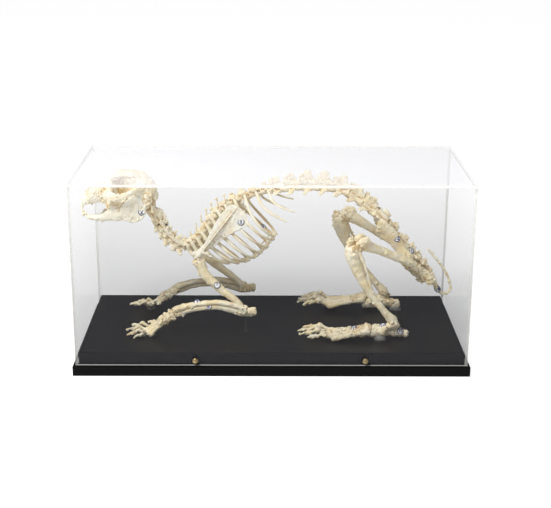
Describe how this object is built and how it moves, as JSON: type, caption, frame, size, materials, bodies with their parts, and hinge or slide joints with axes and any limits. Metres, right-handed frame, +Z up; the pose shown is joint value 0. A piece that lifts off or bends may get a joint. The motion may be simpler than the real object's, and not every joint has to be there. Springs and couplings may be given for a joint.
{
  "type": "mounted rabbit skeleton",
  "caption": "Life-size rabbit skeleton, crouched with arched back and lowered head, glued to a black plinth under a clear rectangular case on a base board.",
  "frame": {"origin": "centre of the base board's underside", "axes": "+X along the case towards the rabbit's tail, so the animal faces -X; +Y across the case towards the rabbit's right side; +Z up"},
  "size_m": [0.4634, 0.2094, 0.229],
  "materials": {
    "bone": "dry ivory bone with a slight sheen",
    "black_board": "satin black laminate",
    "clear_acrylic": "clear polished sheet",
    "brass": "polished round-head screw"
  },
  "bodies": {
    "root": {"base_board": "black_board", "base_plinth": "black_board", "case_front": "clear_acrylic", "case_back": "clear_acrylic", "case_left_end": "clear_acrylic", "case_right_end": "clear_acrylic", "case_top": "clear_acrylic", "screw_front_1": "brass", "screw_front_2": "brass", "screw_back_1": "brass", "screw_back_2": "brass", "skull": "bone", "mandible": "bone", "atlas": "bone", "axis": "bone", "neck": "bone", "chest_spine_front": "bone", "chest_spine_back": "bone", "loin_front": "bone", "loin_back": "bone", "sacrum": "bone", "tail_root": "bone", "tail_middle": "bone", "tail_tip": "bone", "rib_cage_left": "bone", "rib_cage_right": "bone", "humerus_left": "bone", "ulna_left": "bone", "radius_left": "bone", "wrist_left": "bone", "hand_left": "bone", "femur_left": "bone", "tibia_fibula_left": "bone", "patella_left": "bone", "tarsus_left": "bone", "foot_left": "bone", "scapula_left": "bone", "hip_bone_left": "bone", "elbow_pin_left": "clear_acrylic", "hand_pad_left": "clear_acrylic", "heel_pad_left": "clear_acrylic", "humerus_right": "bone", "ulna_right": "bone", "radius_right": "bone", "wrist_right": "bone", "hand_right": "bone", "femur_right": "bone", "tibia_fibula_right": "bone", "patella_right": "bone", "tarsus_right": "bone", "foot_right": "bone", "scapula_right": "bone", "hip_bone_right": "bone", "elbow_pin_right": "clear_acrylic", "hand_pad_right": "clear_acrylic", "heel_pad_right": "clear_acrylic"}
  },
  "joints": []
}
